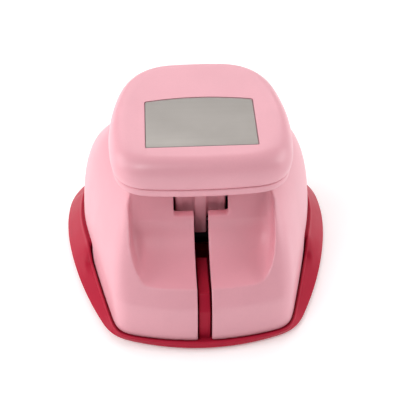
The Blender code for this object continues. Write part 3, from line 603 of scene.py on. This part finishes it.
def plastic(name, colour, roughness, offset=0.0, specular=0.5):
    """Satin moulded plastic: fine spark grain, cloudy pigment, handling gloss and rubbed edges."""
    made = Nodes(name)
    cloud = made.ranged(made.noise(60.0, 4.0, None, offset), 0.0, 1.0)
    fleck = made.ranged(made.noise(1900.0, 2.0, None, offset), 0.0, 0.35)
    pigment = made.mix(cloud, scaled(colour, 0.965), scaled(colour, 1.03))
    pigment = made.mix(fleck, pigment, scaled(colour, 0.94))
    edge = made.ranged(made.edges, 0.0, 0.09, 0.53, 0.62)
    pigment = made.mix(edge, pigment, tuple(channel + (1.0 - channel) * 0.22 for channel in colour))
    made.link(pigment, made.shader.inputs["Base Color"])
    gloss = made.ranged(made.noise(130.0, 5.0, None, offset + 3.0), roughness - 0.03, roughness + 0.04)
    rub = made.ranged(made.noise(420.0, 2.0, (1.0, 0.08, 1.0), offset), 0.0, 0.02, 0.58, 0.72)
    gloss = made.math("ADD", gloss, rub)
    gloss = made.math("SUBTRACT", gloss, made.math("MULTIPLY", edge, 0.08))
    made.link(gloss, made.shader.inputs["Roughness"])
    spark = made.noise(3600.0, 3.0, None, offset)
    wave = made.noise(70.0, 2.0, None, offset + 7.0)
    made.bump(made.math("ADD", made.math("MULTIPLY", spark, 0.25), wave), 0.10, 0.00012)
    made.shader.inputs["Specular IOR Level"].default_value = specular
    return made.material


def brushed_metal(name, colour, roughness, stretch, offset=0.0, relief=0.12, painted_reflection_span=None):
    """Metal with a drawn grain and cloudy oxide, and a painted reflection that darkens it towards the
    rear of the given span.
    """
    made = Nodes(name)
    lines = made.noise(900.0, 4.0, stretch, offset)
    cloud = made.ranged(made.noise(90.0, 4.0, None, offset), 0.0, 1.0)
    tint = made.mix(cloud, scaled(colour, 0.93), scaled(colour, 1.05))
    tint = made.mix(made.ranged(lines, 0.0, 4.0 * relief), tint, scaled(colour, 0.86))
    # painted reflection: the tint darkens from the front of the span to its rear
    if painted_reflection_span:
        along = made.tree.nodes.new("ShaderNodeSeparateXYZ")
        made.link(made.place, along.inputs["Vector"])
        painted_reflection = made.ranged(along.outputs["Y"], 1.0, 0.0, *painted_reflection_span)
        tint = made.mix(painted_reflection, scaled(colour, 0.82), tint)
    made.link(tint, made.shader.inputs["Base Color"])
    made.shader.inputs["Metallic"].default_value = 1.0
    spread = 0.01 + 0.6 * relief
    gloss = made.math("ADD", made.ranged(lines, roughness - spread, roughness + spread),
                      made.ranged(made.noise(40.0, 3.0, None, offset), -0.03, 0.03))
    made.link(gloss, made.shader.inputs["Roughness"])
    made.bump(lines, relief, 0.00004)
    return made.material


def shade_dark_zinc(name, offset=0.0):
    """Die-cast metal tinted near-black as painted shade for the slot, pitted and rubbed bright at its
    edges.
    """
    made = Nodes(name)
    pits = made.noise(1500.0, 5.0, None, offset)
    cloud = made.ranged(made.noise(150.0, 4.0, None, offset), 0.0, 1.0)
    # painted shade: a near-black tint so the metal seen in the slot reads as shadow
    tint = made.mix(cloud, (0.07, 0.07, 0.075), (0.12, 0.12, 0.13))
    made.link(made.mix(made.ranged(made.edges, 0.0, 0.6, 0.52, 0.6), tint, (0.72, 0.72, 0.74)),
              made.shader.inputs["Base Color"])
    made.shader.inputs["Metallic"].default_value = 0.9
    made.link(made.ranged(pits, 0.44, 0.66), made.shader.inputs["Roughness"])
    made.bump(pits, 0.3, 0.0001)
    return made.material


def rubber(name, offset=0.0):
    """Black rubber with dust in its pores."""
    made = Nodes(name)
    dust = made.ranged(made.noise(260.0, 5.0, None, offset), 0.0, 0.5, 0.45, 0.7)
    made.link(made.mix(dust, (0.022, 0.022, 0.024), (0.085, 0.082, 0.08)),
              made.shader.inputs["Base Color"])
    made.link(made.ranged(made.noise(700.0, 4.0, None, offset), 0.7, 0.92),
              made.shader.inputs["Roughness"])
    made.bump(made.noise(2500.0, 4.0, None, offset), 0.3, 0.00012)
    return made.material


PINK, SHELL_ROUGHNESS, CAP_ROUGHNESS = (0.78, 0.365, 0.425), 0.36, 0.33
CRIMSON, TRAY_ROUGHNESS, TRAY_SPECULAR = (0.44, 0.013, 0.040), 0.42, 0.14
SILVER, LABEL_ROUGHNESS, LABEL_RELIEF = (0.335, 0.31, 0.29), 0.44, 0.014
# span of the label's painted reflection, darker towards its rear
LABEL_REFLECTION_SPAN = ((LABEL_MIDDLE - 9.0) * MM, (LABEL_MIDDLE + 9.0) * MM)
LABEL_GRAIN, STEEL_GRAIN = (0.03, 1.0, 1.0), (0.06, 1.0, 1.0)
STEEL, STEEL_ROUGHNESS = (0.58, 0.585, 0.60), 0.30
# painted shade: these plates get near-black steel so they read as the shade where they show
SHADE_BLACK_STEEL, BLACK_ROUGHNESS = (0.035, 0.034, 0.036), 0.48
SHADE_BLACKENED = {"guide_plate", "die_plate", "fence_left", "fence_right"}


def finish_for(slot, name, offset):
    """The finish of a material slot; `offset` moves the grain."""
    if slot == "shell_pink":
        roughness = CAP_ROUGHNESS if name == "pad_shell" else SHELL_ROUGHNESS
        return plastic(name, PINK, roughness, offset)
    if slot == "tray_crimson":
        return plastic(name, CRIMSON, TRAY_ROUGHNESS, offset, TRAY_SPECULAR)
    if slot == "label_silver":
        return brushed_metal(name, SILVER, LABEL_ROUGHNESS, LABEL_GRAIN, offset, LABEL_RELIEF,
                             LABEL_REFLECTION_SPAN)
    if slot == "zinc":
        return shade_dark_zinc(name, offset)
    if slot == "rubber":
        return rubber(name, offset)
    return brushed_metal(name, STEEL, STEEL_ROUGHNESS, STEEL_GRAIN, offset)


# Assembly ------------------------------------------------------------------------------------
SLOTS = {entry["node"]: entry["material_slot"] for entry in frame["record"]["subparts"]}


def stand_in(piece, node, body):
    """The piece takes the place of a CAD node and moves with its body."""
    piece.data.materials.clear()
    piece.data.materials.append(finish_for(SLOTS[node], piece.name, len(piece.name) * 0.37))
    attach(piece, body)
    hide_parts(node)
    return piece


def add_spring(name, side):
    """A return spring that stands in for its CAD node, fixed to the base."""
    node = "return_spring_" + name
    spring = stand_in(make_spring("spring_coil_" + name, side * POST_X), node, "base")
    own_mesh(spring)
    return node


def dress_object():
    """New meshes for the pieces in sight and the springs, new finishes for all the others."""
    stand_in(make_housing(), "top_housing", "base")
    stand_in(make_tray(), "base_tray", "base")
    stand_in(make_lever(), "lever_arm", "lever")
    stand_in(make_cap(), "lever_cap", "lever")
    stand_in(make_label(), "label_plate", "lever")
    replaced = {"top_housing", "base_tray", "lever_arm", "lever_cap", "label_plate",
                add_spring("left", -1), add_spring("right", 1)}
    for index, (name, node) in enumerate(sorted(frame["nodes"].items())):
        if name in replaced:
            continue
        offset = index * 0.61      # so that no two pieces show the same grain
        # painted shade: a near-black finish standing in for shadow
        if name in SHADE_BLACKENED:
            finish = brushed_metal(name + "_finish", SHADE_BLACK_STEEL, BLACK_ROUGHNESS, STEEL_GRAIN, offset)
        else:
            finish = finish_for(SLOTS[name], name + "_finish", offset)
        node.data.materials.clear()
        node.data.materials.append(finish)


# Camera, lights and floor --------------------------------------------------------------------
TARGET = Vector((0.0, -0.005, 0.025))
CAMERA_ELEVATION, CAMERA_AZIMUTH, CAMERA_DISTANCE = 40.0, -3.0, 0.45
FRAME_WIDTH = 0.1212          # width of the view at the target, in metres
SENSOR, CAMERA_SHIFT = 36.0, (0.0032, 0.0125)


def make_camera():
    """The photograph's view: from above and a little to the left."""
    lens = bpy.data.cameras.new("camera")
    lens.sensor_width = SENSOR
    lens.lens = SENSOR * CAMERA_DISTANCE / FRAME_WIDTH
    lens.shift_x, lens.shift_y = CAMERA_SHIFT
    lens.clip_start, lens.clip_end = 0.01, 20.0
    camera = bpy.data.objects.new("camera", lens)
    bpy.context.scene.collection.objects.link(camera)
    elevation, azimuth = math.radians(CAMERA_ELEVATION), math.radians(CAMERA_AZIMUTH)
    back = Vector((math.sin(azimuth) * math.cos(elevation), -math.cos(azimuth) * math.cos(elevation),
                   math.sin(elevation)))
    camera.location = TARGET + back * CAMERA_DISTANCE
    camera.rotation_euler = (-back).to_track_quat("-Z", "Y").to_euler()
    bpy.context.scene.camera = camera


def area_light(name, place, size, power):
    """A soft box that faces the object."""
    light = bpy.data.lights.new(name, "AREA")
    light.shape = "RECTANGLE"
    light.size, light.size_y = size
    light.energy = power
    made = bpy.data.objects.new(name, light)
    made.location = place
    made.rotation_euler = (TARGET - Vector(place)).to_track_quat("-Z", "Y").to_euler()
    bpy.context.scene.collection.objects.link(made)


FLOOR_GLOW = 0.22      # the sheet is lit from below a little, as on a light table
FLOOR_HALF_WIDTH, FLOOR_FRONT, CURVE_START, CURVE_RADIUS, BACKDROP_TOP = 3.0, -3.0, 1.2, 0.6, 3.0
PAPER_DARK, PAPER_LIGHT = (0.92, 0.92, 0.92), (0.94, 0.94, 0.94)


def make_floor():
    """White studio paper that curves up behind the object."""
    sheet = bmesh.new()
    profile = [(FLOOR_FRONT, 0.0), (CURVE_START, 0.0)]
    for step in range(1, 13):
        turn = math.pi / 2.0 * step / 12.0
        profile.append((CURVE_START + CURVE_RADIUS * math.sin(turn),
                        CURVE_RADIUS * (1.0 - math.cos(turn))))
    profile.append((CURVE_START + CURVE_RADIUS, BACKDROP_TOP))
    rows = [[sheet.verts.new((x, y, z)) for y, z in profile]
            for x in (-FLOOR_HALF_WIDTH, FLOOR_HALF_WIDTH)]
    for left, right, left_next, right_next in zip(rows[0], rows[1], rows[0][1:], rows[1][1:]):
        sheet.faces.new((left, right, right_next, left_next))
    mesh = bpy.data.meshes.new("floor")
    sheet.to_mesh(mesh)
    sheet.free()
    mesh.shade_smooth()
    floor = bpy.data.objects.new("floor", mesh)
    bpy.context.scene.collection.objects.link(floor)
    paper = Nodes("floor_paper")
    tone = paper.ranged(paper.noise(8.0, 4.0), 0.0, 1.0)
    paper.link(paper.mix(tone, PAPER_DARK, PAPER_LIGHT), paper.shader.inputs["Base Color"])
    paper.shader.inputs["Roughness"].default_value = 0.9
    paper.shader.inputs["Emission Color"].default_value = (1.0, 1.0, 1.0, 1.0)
    paper.shader.inputs["Emission Strength"].default_value = FLOOR_GLOW
    mesh.materials.append(paper.material)


AREA_LIGHTS = (        # name, place and size in metres, power in watts
    ("key_left", (-0.40, -0.55, 0.73), (0.4, 0.4), 3.1),
    ("side_left", (-0.90, 0.05, 0.40), (0.8, 0.7), 4.9),
    ("side_right", (0.85, -0.02, 0.42), (0.7, 0.6), 4.2),
    ("top_back", (0.0, 0.80, 0.72), (1.4, 0.7), 4.6),
)
TENT_FRONT, TENT_BACK = 0.02, 0.62      # brightness of the tent from its front to its back


def make_studio_light():
    """A light tent: bright sides, top and back, and a darker front, where the camera stands."""
    for name, place, size, power in AREA_LIGHTS:
        area_light(name, place, size, power)
    world = bpy.data.worlds.new("studio")
    world.use_nodes = True
    nodes, links = world.node_tree.nodes, world.node_tree.links
    direction = nodes.new("ShaderNodeSeparateXYZ")
    links.new(nodes.new("ShaderNodeTexCoord").outputs["Generated"], direction.inputs["Vector"])
    depth = nodes.new("ShaderNodeMapRange")
    for key, value in (("From Min", -1.0), ("From Max", 0.6), ("To Min", TENT_FRONT),
                       ("To Max", TENT_BACK)):
        depth.inputs[key].default_value = value
    links.new(direction.outputs["Y"], depth.inputs["Value"])
    background = nodes["Background"]
    background.inputs["Color"].default_value = (1.0, 1.0, 1.0, 1.0)
    links.new(depth.outputs["Result"], background.inputs["Strength"])
    bpy.context.scene.world = world
    bpy.context.scene.view_settings.view_transform = "Standard"


make_camera()
dress_object()
make_floor()
make_studio_light()
